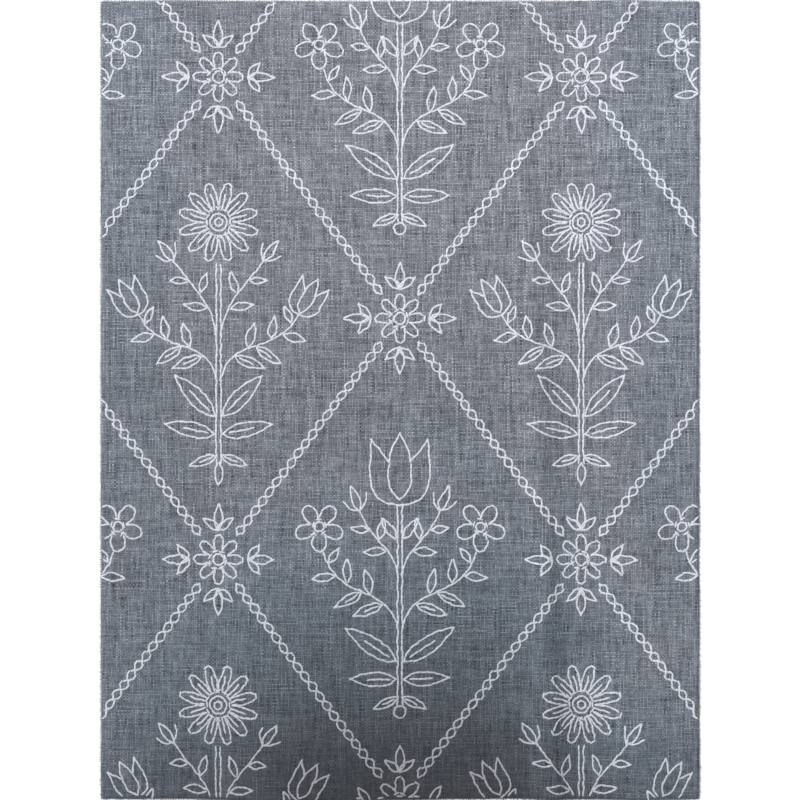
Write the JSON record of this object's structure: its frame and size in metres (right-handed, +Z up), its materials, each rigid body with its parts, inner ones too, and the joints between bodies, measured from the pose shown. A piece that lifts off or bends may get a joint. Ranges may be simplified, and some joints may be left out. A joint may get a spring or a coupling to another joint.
{
  "type": "embroidered sheer voile cloth, cut length",
  "caption": "Cut length of grey-blue sheer curtain voile with chalk-white chain-stitch embroidery, lying face up in soft lengthwise folds.",
  "frame": {"origin": "middle of the cloth's outline, on the surface it lies on", "axes": "+X across the width, +Y along the length towards the far edge, +Z up out of the cloth's face"},
  "size_m": [0.33, 0.44, 0.0098],
  "materials": {
    "slate_voile": "matte sheer voile with a slubbed linen-look weave",
    "chalk_thread": "soft satin embroidery thread in chain stitch"
  },
  "bodies": {
    "root": {"voile_length": "slate_voile"}
  },
  "joints": []
}
